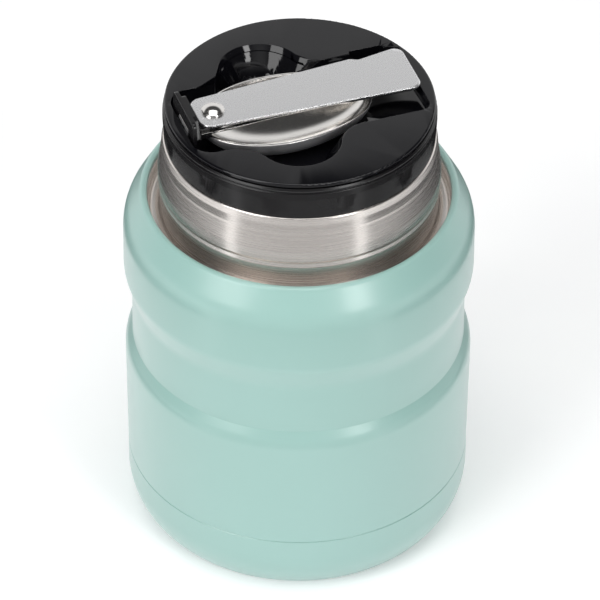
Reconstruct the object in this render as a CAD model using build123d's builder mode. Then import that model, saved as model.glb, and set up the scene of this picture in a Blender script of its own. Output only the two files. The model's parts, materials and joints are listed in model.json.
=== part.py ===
from build123d import *
import os
from math import asin, atan2, cos, degrees, radians, sin

# Insulated food jar with a screw stopper and a folding spoon stowed in the stopper's top.
# Millimetres, +Z up, origin at the centre of the foot. The spoon lies across the jar at
# SPOON_ANGLE; "along" is measured from the axis toward the free end of its handle,
# "across" at right angles to that.

os.makedirs("parts", exist_ok=True)

# ---------------------------------------------------------------- driving dimensions
# Outer shell: radii are steps in from the shoulder, heights are steps up from the seam
SHOULDER_R = 47.0        # widest radius, at the shoulder
WAIST_IN = 2.2           # how far the waist lies inside the shoulder
LOWER_IN = 0.2           # the same for the top of the lower wall
SEAM_IN = 0.6            # and for the seam above the base cup
COLLAR_WIDTH = 6.5       # from the shoulder to the collar's inner edge
SHELL_WALL = 0.6         # sheet thickness of shell, base cup and neck
SEAM_Z = 18.7            # height of the seam
SEAM_BEVEL = 0.22        # bevel of the two edges that meet at the seam
SEAM_LAND = 2.0          # height of the upright wall above the seam
LOWER_HEIGHT = 38.3      # from the seam to the crease where the waist begins
CREASE_HEIGHT = 3.6      # slope between lower wall and waist
WAIST_TAPER = 0.05
WAIST_HEIGHT = 15.5
SHOULDER_HEIGHT = 7.0    # slope from the waist out to the shoulder
COLLAR_HEIGHT = 24.5     # from the shoulder's lower edge to the collar's crest
COLLAR_FALL = 8.6        # how far below the crest the collar begins to curve in
CREST_WIDTH = 1.5        # nearly level ring at the crest
CREST_RISE = 0.35
CURL_DEPTH = 1.6         # depth of the painted curl inside the collar
CURL_START = 0.3
SEAM_BLEND = 10.0        # blend radii of the wall, from the seam up
LOWER_BLEND = 7.0
CREASE_BLEND = 0.3
WAIST_BLEND = 11.0
SHOULDER_BLEND = 9.0
COLLAR_BLEND = 14.0
CREST_BLEND = 1.3
CURL_BLEND = 0.6

# Neck: radii are steps from the channel beside the collar
CHANNEL_WIDTH = 3.35     # channel that the cup lid stands in, between collar and neck
CHANNEL_DEPTH = 6.0      # its floor below the collar's crest
CHANNEL_BLEND = 1.5
NECK_HEIGHT = 18.6       # lip above the collar's crest
BEAD_UP = 3.3            # sharp bead above the crest
BEAD_LAND = 3.6          # plain land below that bead
BEAD_OUT = 0.3
BEAD_HEIGHT = 1.1
SPIGOT_OUT = 0.45        # bead that guides the cup lid
SPIGOT_UP = 5.3
SPIGOT_LENGTH = 3.0
NECK_CREASE_IN = 0.45    # crease below the lip band
NECK_CREASE_UP = 14.3
CREASE_NICK = 0.12
CREASE_RISE = 0.6
LIP_BAND = 2.0           # height of the band that rounds into the lip
BAND_TAPER = 0.15
LIP_IN = 0.6             # lip's flat inside the crease
LIP_LAND = 1.9           # width of the lip's flat down to the bore
NECK_SOFT = 0.5          # blend radii on the neck
NECK_FINE = 0.3
NECK_SHARP = 0.1

# Base cup
BASE_CORNER_R = 16.5     # radius of the lower corner
BASE_CORNER_Z = 12.0     # height where that corner begins
FOOT_IN = 1.4            # step from the corner's end in to the standing ring
FOOT_WIDTH = 3.6
FOOT_HEIGHT = 2.4        # height of the recessed underside above the ground
FOOT_SLOPE = 1.2         # how far the foot's inner side slopes in
FOOT_BLEND = 1.0
DISC = 0.8               # thickness of the disc that covers the evacuation port
DISC_MARGIN = 1.0
DISC_BEVEL = 0.2
PORT_R = 9.0             # dimple round the evacuation port
PORT_DEPTH = 2.6
PORT_SLOPE = 2.2         # how far the dimple's side slopes in
PORT_BLEND = 0.6
SEAL_R = 2.6             # bore of the evacuation port
SEAL_FLANGE = 1.4        # how far its seal bead spreads and hangs below

# Inner vessel
VACUUM_GAP = 3.7         # from the waist's outside to the inside of the food space
FLOOR_GAP = 5.0          # from the base cup's floor up to the vessel
VESSEL_WALL = 0.6
VESSEL_FALL = 18.0       # vessel's shoulder below the collar's crest
BORE_FALL = 9.5          # start of the straight bore below the crest
VESSEL_CORNER_R = 8.0
VESSEL_SHOULDER_R = 6.0
BORE_BLEND = 4.0
FOIL = 0.3               # radiation shield thickness
FOIL_GAP = 0.1
FOIL_MARGIN = 8.0        # bare height of vessel wall below the shield
FOIL_TOP_MARGIN = 4.0
GETTER_R = 5.0
GETTER_HEIGHT = 1.1
GETTER_PLACE = 22.0      # distance of the getter from the axis
GETTER_BEVEL = 0.3
CLIP_WALL = 0.3
CLIP_FLANGE = 2.4
CLIP_LAP = 1.9           # how far the clip laps over the getter

# Stopper
SKIRT_OUT = 0.1          # grip skirt outside the lip's flat
PANEL_IN = 0.5           # top panel inside the skirt
STOPPER_HEIGHT = 11.0    # top of the panel above the lip
PANEL = 1.7              # thickness of the recess walls
PANEL_EDGE = 1.5         # height of the panel's edge
PANEL_BLEND = 0.5
EDGE_GROOVE = 0.5        # groove under the panel's edge
SKIRT_WALL = 1.3
SKIRT_TAPER = 0.3
SKIRT_BAND = 1.9         # plain band above the flutes
SKIRT_STEP = 0.35        # depth of the fine groove above that band
SKIRT_STEP_HEIGHT = 0.3
SKIRT_RIM = 0.5
PLUG_CLEAR = 1.0         # between plug and bore
PLUG_WALL = 1.8
PLUG_LENGTH = 22.0
PLUG_BASE = 1.8          # thickness of the plug's bottom disc
PLUG_BEVEL = 0.6
UPSTAND = 1.4            # ring on that disc, which centres it in the plug
UPSTAND_HEIGHT = 2.2
FOAM_BEVEL = 1.0
DECK = 2.4               # flange between plug and skirt, holding the ring groove
RING_CLEAR = 0.25        # between plug and sealing ring
RING_WIDTH = 1.5
RING_HEIGHT = 1.5
FLUTES = 12
FLUTE_R = 7.0            # radius of the tool that scoops each grip flute
FLUTE_DEPTH = 0.85
FLUTE_HEIGHT = 6.4
FLUTE_DROP = 2.4         # top of the flutes below the skirt's top
FLUTE_PHASE = 19.5       # turn of the first flute from +X
SEAT_GAP = 0.1           # clearance between parts that nest without a fit

# Recess in the stopper's panel, in along / across coordinates
SPOON_ANGLE = 19.5
HINGE_MARGIN = 3.45      # from the skirt's outside to the recess's hinge end
TIP_MARGIN = 4.3         # the same at the other end
RECESS_HALF = 14.3
HINGE_HALF = 13.75       # half width at the hinge end
HINGE_CORNER_R = 5.5
TIP_CORNER_R = 2.8
FLARE_LENGTH = 5.3       # slope of the recess's side out to each finger scoop
FLARE_OUT = 2.85
FLARE_LIP = 0.85         # slope's end from the scoop's side
FLARE_R = 1.0
FLARE_ANGLE = 160.0      # where on the scoop's rim the slope's corner runs out
NOTCH_MARGIN = 3.6       # local relief for a fingertip at the handle's far edge
NOTCH_LENGTH = 9.4
NOTCH_OUT = 1.2
NOTCH_R = 0.7
SCOOP_R = 11.35          # finger scoops either side of the bowl
SCOOP_SHIFT = 0.3        # scoops' centres past the bowl's widest place
SCOOP_ACROSS = 15.5
SCOOP_DEPTH = 8.2
SCOOP_TAPER = 30.0
SCOOP_BLEND = 8.0        # rounding between scoop and recess on the tip side

# Spoon bowl
HEEL_FROM_PIN = 2.6      # from the hinge pin to the bowl's heel
BOWL_HEEL = 22.0         # half length toward the hinge
BOWL_TIP = 25.6          # half length toward the tip
BOWL_HALF = 14.6
BOWL_DEPTH = 9.4
BOWL_WALL = 0.9
RIM_DROP = 1.6           # rim below the panel's top
BOWL_CLEAR = 0.35        # gap between bowl and the hollow that it lies in
PAD_R = 5.0              # pad in the hollow that the bowl rests on
PAD_HEIGHT = 1.5

# Hinge
PIN_MARGIN = 2.15        # pin from the recess's hinge end
PIN_RISE = 1.2           # pin above the bowl's rim
PIN_R = 0.8
PIN_CLEAR = 0.06
PIN_SHY = 0.2            # pin's ends inside the block's cheeks
EYE_R = 1.6              # outside of the rolled eye
SHANK = 0.9              # thickness of the shank
SHANK_HALF = 4.0         # half width of the shank and eye
SHANK_BLEND = 0.6
EYE_SIDE_GAP = 0.15
SHANK_REACH = 2.1        # level part of the shank, from the pin

# Hinge block with its upright tab
TAB_MARGIN = 0.4         # tab from the recess's hinge end
TAB_OUTER = 1.15         # thickness of the tab's outer layer
TAB_INNER = 1.2          # and of its narrower inner layer
TAB_RISE = 2.9           # tab's top above the handle
TAB_TOP_HALF = 8.0
TAB_BASE_HALF = 8.7
TAB_STEP = 2.8           # how much narrower the inner layer is
TAB_CORNER_R = 1.6
TAB_EDGE_R = 0.35
BARREL_R = 1.75
BLOCK_DROP = 0.8         # block's underside below the pin
BLOCK_REACH = 4.2        # block's end beyond the pin
BLOCK_HALF = 6.2
TAB_DROP = 0.4           # tab's lower edge below the pin
BOSS_R = 3.4             # boss round the rivet
SLOT_REACH = 3.0         # end of the slot that the shank passes through
STOP_GAP = 0.05          # play between shank and tab when the handle is open

# Handle
PLATE_RISE = 2.1         # handle's underside above the pin
PLATE = 0.8
PLATE_BEVEL = 0.2
PLATE_REACH = 1.6        # handle's hinge end beyond the pin
PLATE_END_HALF = 6.1     # half width at the hinge end
PLATE_END_R = 3.0
PLATE_MARGIN = 0.3       # handle's free end from the recess's end
PLATE_FRONT_OUT = 1.5    # how much wider the free end is, front edge
PLATE_BACK_OUT = 4.4     # how much wider the free end is, back edge
PLATE_CORNER_R = 2.6
RELIEF_MARGIN = 14.6     # where the back edge steps in for a fingertip, from the free end
RELIEF = 1.0
RELIEF_RUN = 2.2
RIVET_REACH = 6.5        # rivet from the pin
RIVET_HEAD_R = 3.05
RIVET_HEAD = 1.6
RIVET_RIM = 0.5          # height of the head's upright rim
RIVET_R = 1.5
RIVET_FOOT_R = 2.5
RIVET_FOOT = 0.55
SPRING = 0.5             # leaf thickness
SPRING_INSET = 0.3       # how far the leaf stays inside the handle's edge
SPRING_DROP = 1.25       # drop of the leaf's fork below the handle
SPRING_REACH = 31.6      # from the pin to where the leaf meets the handle
SPRING_BLEND = 6.0
SPRING_MARGIN = 3.0      # leaf's end from the handle's free end
FORK_REACH = 11.0        # root of the fork, from the pin
FORK_HALF = 5.1          # half width between the fork's arms
FORK_ARM = 1.0           # width of each arm
FORK_SHY = 1.3           # arms' ends from the pin

# ---------------------------------------------------------------- sizes that follow
waist_r = SHOULDER_R - WAIST_IN
lower_r = SHOULDER_R - LOWER_IN
seam_r = SHOULDER_R - SEAM_IN
collar_r = SHOULDER_R - COLLAR_WIDTH
crease_z = SEAM_Z + LOWER_HEIGHT
waist_top_z = crease_z + WAIST_HEIGHT
shoulder_z = waist_top_z + SHOULDER_HEIGHT
crest_z = shoulder_z + COLLAR_HEIGHT
curl_z = crest_z - CURL_DEPTH

neck_r = collar_r - CHANNEL_WIDTH
spigot_r = neck_r + SPIGOT_OUT
neck_crease_r = neck_r - NECK_CREASE_IN
lip_r = neck_crease_r - LIP_IN
bore_r = lip_r - LIP_LAND
channel_z = crest_z - CHANNEL_DEPTH
bead_z = crest_z + BEAD_UP
spigot_z = crest_z + SPIGOT_UP
neck_crease_z = crest_z + NECK_CREASE_UP
lip_z = crest_z + NECK_HEIGHT

stopper_r = lip_r + SKIRT_OUT
panel_r = stopper_r - PANEL_IN
skirt_inner_r = stopper_r - SKIRT_WALL
plug_r = bore_r - PLUG_CLEAR
ring_inner_r = plug_r + RING_CLEAR
ring_outer_r = ring_inner_r + RING_WIDTH
stopper_top_z = lip_z + STOPPER_HEIGHT
skirt_top_z = stopper_top_z - PANEL_EDGE
skirt_bottom_z = lip_z + SEAT_GAP
deck_top_z = skirt_bottom_z + DECK
flute_top_z = skirt_top_z - FLUTE_DROP
plug_bottom_z = lip_z - PLUG_LENGTH

recess_hinge_end = HINGE_MARGIN - stopper_r
recess_tip_end = stopper_r - TIP_MARGIN
pin_along = recess_hinge_end + PIN_MARGIN
bowl_along = pin_along + HEEL_FROM_PIN + BOWL_HEEL
rim_z = stopper_top_z - RIM_DROP
pin_z = rim_z + PIN_RISE
block_bottom_z = pin_z - BLOCK_DROP
plate_bottom_z = pin_z + PLATE_RISE
plate_top_z = plate_bottom_z + PLATE
block_end = pin_along + BLOCK_REACH
rivet_along = pin_along + RIVET_REACH
plate_end = recess_tip_end - PLATE_MARGIN

HALF_TURN = 180.0
COS_A = cos(radians(SPOON_ANGLE))
SIN_A = sin(radians(SPOON_ANGLE))
upward = (Align.CENTER, Align.CENTER, Align.MIN)
downward = (Align.CENTER, Align.CENTER, Align.MAX)


def across_jar(height):
    """Horizontal plane at a height, with local X along the spoon."""
    return Plane(origin=(0, 0, height), x_dir=(COS_A, SIN_A, 0), z_dir=(0, 0, 1))


def along_jar(distance):
    """Upright plane: local X runs along the spoon from a distance along it, local Y is up."""
    origin = (distance * COS_A, distance * SIN_A, 0)
    return Plane(origin=origin, x_dir=(COS_A, SIN_A, 0), z_dir=(SIN_A, -COS_A, 0))


def square_to_spoon(distance):
    """Upright plane at a distance along the spoon: local X runs across it, local Y is up."""
    origin = (distance * COS_A, distance * SIN_A, 0)
    return Plane(origin=origin, x_dir=(-SIN_A, COS_A, 0), z_dir=(COS_A, SIN_A, 0))


# ---------------------------------------------------------------- jar
shell_line = [
    (seam_r, SEAM_Z),
    (seam_r, SEAM_Z + SEAM_LAND),
    (lower_r, crease_z - CREASE_HEIGHT),
    (waist_r + WAIST_TAPER, crease_z),
    (waist_r, waist_top_z),
    (SHOULDER_R, shoulder_z),
    (SHOULDER_R, crest_z - COLLAR_FALL),
    (collar_r + CREST_WIDTH, crest_z + CREST_RISE),
    (collar_r, crest_z - CURL_START),
    (collar_r, curl_z),
]
shell_radii = [
    SEAM_BLEND,
    LOWER_BLEND,
    CREASE_BLEND,
    WAIST_BLEND,
    SHOULDER_BLEND,
    COLLAR_BLEND,
    CREST_BLEND,
    CURL_BLEND,
]
with BuildPart() as outer_shell:
    with BuildSketch(Plane.XZ):
        with BuildLine():
            FilletPolyline(shell_line, radius=shell_radii)
            offset(amount=SHELL_WALL, side=Side.LEFT)
        make_face()
    revolve(axis=Axis.Z)
    lowest_rings = outer_shell.edges().filter_by(GeomType.CIRCLE).group_by(Axis.Z)[0]
    chamfer(lowest_rings.sort_by(SortBy.RADIUS)[-1], SEAM_BEVEL)
outer_shell.part.label = "outer_shell"

# Steel neck: channel floor, plain land, sharp bead, spigot bead, tapered band, lip.
vessel_rim_r = bore_r + VESSEL_WALL
neck_outside = [
    (collar_r, curl_z),
    (collar_r, channel_z),
    (neck_r, channel_z),
    (neck_r, bead_z - BEAD_LAND),
    (neck_r + WAIST_TAPER, bead_z - BEAD_OUT),
    (neck_r + BEAD_OUT, bead_z),
    (neck_r + NECK_SHARP, bead_z + BEAD_HEIGHT),
    (spigot_r, spigot_z),
    (spigot_r, spigot_z + SPIGOT_LENGTH),
    (neck_crease_r + CREASE_NICK, neck_crease_z - CREASE_RISE),
    (neck_crease_r, neck_crease_z),
    (neck_crease_r - BAND_TAPER, lip_z - LIP_BAND),
    (lip_r, lip_z),
    (vessel_rim_r, lip_z),
]
outside_radii = [
    0,
    CHANNEL_BLEND,
    CHANNEL_BLEND,
    2 * NECK_SOFT,
    NECK_SHARP,
    NECK_SHARP,
    NECK_SOFT,
    NECK_FINE,
    NECK_SOFT,
    NECK_SOFT,
    NECK_FINE,
    NECK_SOFT,
    NECK_SOFT,
    0,
]
neck_inside = [
    (vessel_rim_r, lip_z - SHELL_WALL),
    (lip_r - SHELL_WALL, lip_z - SHELL_WALL),
    (neck_crease_r - BAND_TAPER - SHELL_WALL, lip_z - LIP_BAND),
    (spigot_r - SHELL_WALL, spigot_z + SPIGOT_LENGTH),
    (spigot_r - SHELL_WALL, spigot_z),
    (neck_r - SHELL_WALL, bead_z),
    (neck_r - SHELL_WALL, channel_z - SHELL_WALL),
    (collar_r + SHELL_WALL, channel_z - SHELL_WALL),
    (collar_r + SHELL_WALL, curl_z),
]
inside_radii = [
    0,
    NECK_FINE,
    NECK_SOFT,
    NECK_SOFT,
    NECK_SOFT,
    NECK_SOFT,
    2 * NECK_SOFT,
    CHANNEL_BLEND + NECK_SOFT,
    0,
]
with BuildPart() as neck_ring:
    with BuildSketch(Plane.XZ):
        with BuildLine():
            FilletPolyline(neck_outside + neck_inside, radius=outside_radii + inside_radii, close=True)
        make_face()
    revolve(axis=Axis.Z)
neck_ring.part.label = "neck_ring"

# Base cup: quarter-round corner, standing ring, recessed underside with a dimple.
corner_centre = (seam_r - BASE_CORNER_R, BASE_CORNER_Z)
corner_sweep = degrees(asin((BASE_CORNER_Z - SHELL_WALL) / BASE_CORNER_R))
foot_out_r = corner_centre[0] + BASE_CORNER_R * cos(radians(corner_sweep)) - FOOT_IN
foot_in_r = foot_out_r - FOOT_WIDTH
cup_recess_r = foot_in_r - FOOT_SLOPE
cup_floor_z = FOOT_HEIGHT + SHELL_WALL
port_z = FOOT_HEIGHT + PORT_DEPTH
port_floor_z = port_z + SHELL_WALL
half_wall = SHELL_WALL / 2
with BuildPart() as base_cup:
    with BuildSketch(Plane.XZ):
        with BuildLine():
            Line((seam_r, SEAM_Z), (seam_r, BASE_CORNER_Z))
            outside = CenterArc(corner_centre, BASE_CORNER_R, 0, -corner_sweep)
            FilletPolyline(
                outside @ 1,
                (foot_out_r, 0),
                (foot_in_r, 0),
                (cup_recess_r, FOOT_HEIGHT),
                (PORT_R + PORT_SLOPE, FOOT_HEIGHT),
                (PORT_R, port_z),
                (SEAL_R, port_z),
                radius=[FOOT_BLEND, FOOT_BLEND, half_wall, PORT_BLEND + SHELL_WALL, PORT_BLEND],
            )
            Line((SEAL_R, port_z), (SEAL_R, port_floor_z))
            inside = CenterArc(corner_centre, BASE_CORNER_R - SHELL_WALL, 0, -corner_sweep)
            FilletPolyline(
                (SEAL_R, port_floor_z),
                (PORT_R + half_wall, port_floor_z),
                (PORT_R + PORT_SLOPE + half_wall, cup_floor_z),
                (cup_recess_r + half_wall, cup_floor_z),
                (foot_in_r + half_wall, SHELL_WALL),
                (foot_out_r - half_wall, SHELL_WALL),
                inside @ 1,
                radius=[
                    PORT_BLEND + SHELL_WALL,
                    PORT_BLEND,
                    half_wall + SHELL_WALL,
                    FOOT_BLEND - SHELL_WALL,
                    FOOT_BLEND - SHELL_WALL,
                ],
            )
            Line((seam_r - SHELL_WALL, BASE_CORNER_Z), (seam_r - SHELL_WALL, SEAM_Z))
            Line((seam_r - SHELL_WALL, SEAM_Z), (seam_r, SEAM_Z))
        make_face()
    revolve(axis=Axis.Z)
    highest_rings = base_cup.edges().filter_by(GeomType.CIRCLE).group_by(Axis.Z)[-1]
    chamfer(highest_rings.sort_by(SortBy.RADIUS)[-1], SEAM_BEVEL)
base_cup.part.label = "base_cup"

with BuildPart() as base_disc:
    with BuildSketch(Plane.XY.offset(FOOT_HEIGHT - DISC)):
        Circle(cup_recess_r - DISC_MARGIN)
    extrude(amount=DISC)
    chamfer(base_disc.edges().group_by(Axis.Z)[0], DISC_BEVEL)
base_disc.part.label = "base_disc"

with BuildPart() as vacuum_seal:
    with Locations((0, 0, port_z)):
        Cylinder(SEAL_R, SHELL_WALL, align=upward)
        Cone(SEAL_R, SEAL_R + SEAL_FLANGE, SEAL_FLANGE, align=downward)
vacuum_seal.part.label = "vacuum_seal"

# Inner vessel: closed bottom, wide food space, shoulder and straight bore.
vessel_r = waist_r - VACUUM_GAP
vessel_floor_z = cup_floor_z + FLOOR_GAP + VESSEL_WALL
vessel_shoulder_z = crest_z - VESSEL_FALL
vessel_line = [
    (0, vessel_floor_z),
    (vessel_r, vessel_floor_z),
    (vessel_r, vessel_shoulder_z),
    (bore_r, crest_z - BORE_FALL),
    (bore_r, lip_z),
]
with BuildPart() as inner_vessel:
    with BuildSketch(Plane.XZ):
        with BuildLine():
            FilletPolyline(vessel_line, radius=[VESSEL_CORNER_R, VESSEL_SHOULDER_R, BORE_BLEND])
            offset(amount=VESSEL_WALL, side=Side.RIGHT)
        make_face()
    revolve(axis=Axis.Z)
inner_vessel.part.label = "inner_vessel"

foil_r = vessel_r + VESSEL_WALL + FOIL_GAP
foil_bottom_z = vessel_floor_z + FOIL_MARGIN
with BuildPart() as radiation_shield:
    with BuildSketch(Plane.XY.offset(foil_bottom_z)):
        Circle(foil_r + FOIL)
        Circle(foil_r, mode=Mode.SUBTRACT)
    extrude(amount=vessel_shoulder_z - FOIL_TOP_MARGIN - foil_bottom_z)
radiation_shield.part.label = "radiation_shield"

with BuildPart() as getter:
    with BuildSketch(Plane.XY.offset(cup_floor_z)):
        with Locations((GETTER_PLACE, 0)):
            Circle(GETTER_R)
    extrude(amount=GETTER_HEIGHT)
    chamfer(getter.edges().group_by(Axis.Z)[-1], GETTER_BEVEL)
getter.part.label = "getter"

# Its clip: a flange on the cup's floor, a wall round the pellet and a lap over it.
clip_r = GETTER_R + SEAT_GAP
with BuildPart() as getter_clip:
    with BuildSketch(Plane.XY.offset(cup_floor_z)):
        with Locations((GETTER_PLACE, 0)):
            Circle(clip_r + CLIP_FLANGE)
            Circle(clip_r, mode=Mode.SUBTRACT)
    extrude(amount=CLIP_WALL)
    with BuildSketch(Plane.XY.offset(cup_floor_z)):
        with Locations((GETTER_PLACE, 0)):
            Circle(clip_r + CLIP_WALL)
            Circle(clip_r, mode=Mode.SUBTRACT)
    extrude(amount=GETTER_HEIGHT + CLIP_WALL)
    with BuildSketch(Plane.XY.offset(cup_floor_z + GETTER_HEIGHT)):
        with Locations((GETTER_PLACE, 0)):
            Circle(clip_r + CLIP_WALL)
            Circle(GETTER_R - CLIP_LAP, mode=Mode.SUBTRACT)
    extrude(amount=CLIP_WALL)
getter_clip.part.label = "getter_clip"

# ---------------------------------------------------------------- stopper
with BuildPart() as sealing_ring:
    with BuildSketch(Plane.XY.offset(lip_z)):
        Circle(ring_outer_r)
        Circle(ring_inner_r, mode=Mode.SUBTRACT)
    extrude(amount=RING_HEIGHT)
sealing_ring.part.label = "sealing_ring"

skirt_band_z = flute_top_z + SKIRT_BAND / 2
flute_axis_r = stopper_r - FLUTE_DEPTH + FLUTE_R
flute_tilt = degrees(atan2(FLUTE_DEPTH, FLUTE_HEIGHT))
with BuildPart() as stopper_body:
    with BuildSketch(Plane.XZ):
        with BuildLine():
            FilletPolyline(
                (plug_r, plug_bottom_z),
                (plug_r, skirt_bottom_z),
                (stopper_r - SKIRT_TAPER, skirt_bottom_z),
                (stopper_r, skirt_band_z - SKIRT_BAND),
                (stopper_r, skirt_band_z),
                (stopper_r - SKIRT_STEP, skirt_band_z + SKIRT_STEP_HEIGHT),
                (stopper_r - SKIRT_STEP / 2, skirt_top_z - SKIRT_RIM),
                (stopper_r - SKIRT_RIM, skirt_top_z),
                (skirt_inner_r, skirt_top_z),
                (skirt_inner_r, deck_top_z),
                (plug_r - PLUG_WALL, deck_top_z),
                (plug_r - PLUG_WALL, plug_bottom_z),
                radius=[
                    0,
                    0,
                    SKIRT_TAPER,
                    SKIRT_WALL,
                    SKIRT_STEP_HEIGHT,
                    SEAT_GAP,
                    SEAT_GAP,
                    SEAT_GAP,
                    0,
                    0,
                    0,
                    0,
                ],
                close=True,
            )
        make_face()
    revolve(axis=Axis.Z)
    with BuildSketch(Plane.XY.offset(skirt_bottom_z)):
        Circle(ring_outer_r + SEAT_GAP)
        Circle(ring_inner_r - SEAT_GAP, mode=Mode.SUBTRACT)
    extrude(amount=RING_HEIGHT - SEAT_GAP, mode=Mode.SUBTRACT)
    with Locations(Location((0, 0, flute_top_z))):
        with PolarLocations(flute_axis_r, FLUTES, start_angle=FLUTE_PHASE):
            Cylinder(
                FLUTE_R,
                FLUTE_HEIGHT + FLUTE_DROP,
                rotation=(0, -flute_tilt, 0),
                align=downward,
                mode=Mode.SUBTRACT,
            )
stopper_body.part.label = "stopper_body"

upstand_r = plug_r - PLUG_WALL - SEAT_GAP
with BuildPart() as stopper_base:
    with BuildSketch(Plane.XY.offset(plug_bottom_z - PLUG_BASE)):
        Circle(plug_r)
    extrude(amount=PLUG_BASE)
    chamfer(stopper_base.edges().group_by(Axis.Z)[0], PLUG_BEVEL)
    with BuildSketch(Plane.XY.offset(plug_bottom_z)):
        Circle(upstand_r)
        Circle(upstand_r - UPSTAND, mode=Mode.SUBTRACT)
    extrude(amount=UPSTAND_HEIGHT)
stopper_base.part.label = "stopper_base"

foam_top_z = rim_z - BOWL_DEPTH - BOWL_CLEAR - PANEL - SEAT_GAP
with BuildPart() as stopper_foam:
    with BuildSketch(Plane.XY.offset(plug_bottom_z)):
        Circle(upstand_r - UPSTAND - SEAT_GAP)
    extrude(amount=foam_top_z - plug_bottom_z)
    chamfer(stopper_foam.edges().group_by(Axis.Z)[-1], FOAM_BEVEL)
stopper_foam.part.label = "stopper_foam"

# Spoon recess, in along / across coordinates.
scoop_along = bowl_along + SCOOP_SHIFT
flare_end = scoop_along - SCOOP_R - FLARE_LIP
flare_half = HINGE_HALF + FLARE_OUT
flare_top_along = scoop_along + SCOOP_R * cos(radians(FLARE_ANGLE))
flare_top_across = SCOOP_ACROSS + SCOOP_R * sin(radians(FLARE_ANGLE))
notch_end = recess_tip_end - NOTCH_MARGIN


def recess_outline():
    """Outline of the tray: narrow hinge end, flares out to both scoops, wider tip end, notch."""
    with BuildSketch() as outline:
        with BuildLine():
            FilletPolyline(
                (recess_hinge_end, -HINGE_HALF),
                (flare_end - FLARE_LENGTH, -HINGE_HALF),
                (flare_end, -flare_half),
                (flare_top_along, -flare_top_across),
                (scoop_along, -SCOOP_ACROSS),
                (scoop_along, -RECESS_HALF),
                (recess_tip_end, -RECESS_HALF),
                (recess_tip_end, RECESS_HALF),
                (scoop_along, RECESS_HALF),
                (scoop_along, SCOOP_ACROSS),
                (flare_top_along, flare_top_across),
                (flare_end, flare_half),
                (flare_end - FLARE_LENGTH, HINGE_HALF),
                (recess_hinge_end, HINGE_HALF),
                radius=[
                    HINGE_CORNER_R,
                    TIP_CORNER_R,
                    FLARE_R,
                    0,
                    0,
                    0,
                    TIP_CORNER_R,
                    TIP_CORNER_R,
                    0,
                    0,
                    0,
                    FLARE_R,
                    TIP_CORNER_R,
                    HINGE_CORNER_R,
                ],
                close=True,
            )
        make_face()
        with Locations((notch_end - NOTCH_LENGTH / 2, RECESS_HALF)):
            RectangleRounded(NOTCH_LENGTH, 2 * NOTCH_OUT, NOTCH_R)
    return outline.sketch


def scoop_outline(side):
    """Rim of one finger scoop: a circle that blends into the recess's side toward the tip."""
    across = side * SCOOP_ACROSS
    with BuildSketch() as rim:
        with Locations((scoop_along, across)):
            Circle(SCOOP_R)
        with Locations((scoop_along, side * RECESS_HALF / 2)):
            Rectangle(2 * SCOOP_R, RECESS_HALF, align=(Align.MIN, Align.CENTER))
        junctions = rim.vertices().filter_by(lambda corner: corner.X < scoop_along + SCOOP_R + SEAT_GAP)
        blend = junctions.filter_by(lambda corner: abs(corner.Y) > RECESS_HALF - SEAT_GAP).sort_by(Axis.X)[-1]
        fillet(blend, SCOOP_BLEND)
    return rim.sketch


def egg_bowl(grow=0.0):
    """Lower half of the egg-shaped bowl, grown by a gap or wall; its rim on the XY plane."""
    with BuildPart() as tip_half:
        Sphere(1, arc_size2=0, arc_size3=HALF_TURN, rotation=(0, 0, -90), align=None)
        scale(by=(BOWL_TIP + grow, BOWL_HALF + grow, BOWL_DEPTH + grow))
    with BuildPart() as heel_half:
        Sphere(1, arc_size2=0, arc_size3=HALF_TURN, rotation=(0, 0, 90), align=None)
        scale(by=(BOWL_HEEL + grow, BOWL_HALF + grow, BOWL_DEPTH + grow))
    return tip_half.part + heel_half.part


def egg_rim(grow=0.0):
    """Outline of the bowl's rim, grown by a gap."""
    half = BOWL_HALF + grow
    with BuildSketch() as rim:
        with BuildLine():
            EllipticalCenterArc((0, 0), BOWL_TIP + grow, half, start_angle=-90, arc_size=HALF_TURN)
            EllipticalCenterArc((0, 0), BOWL_HEEL + grow, half, start_angle=90, arc_size=HALF_TURN)
        make_face()
    return rim.sketch


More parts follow.
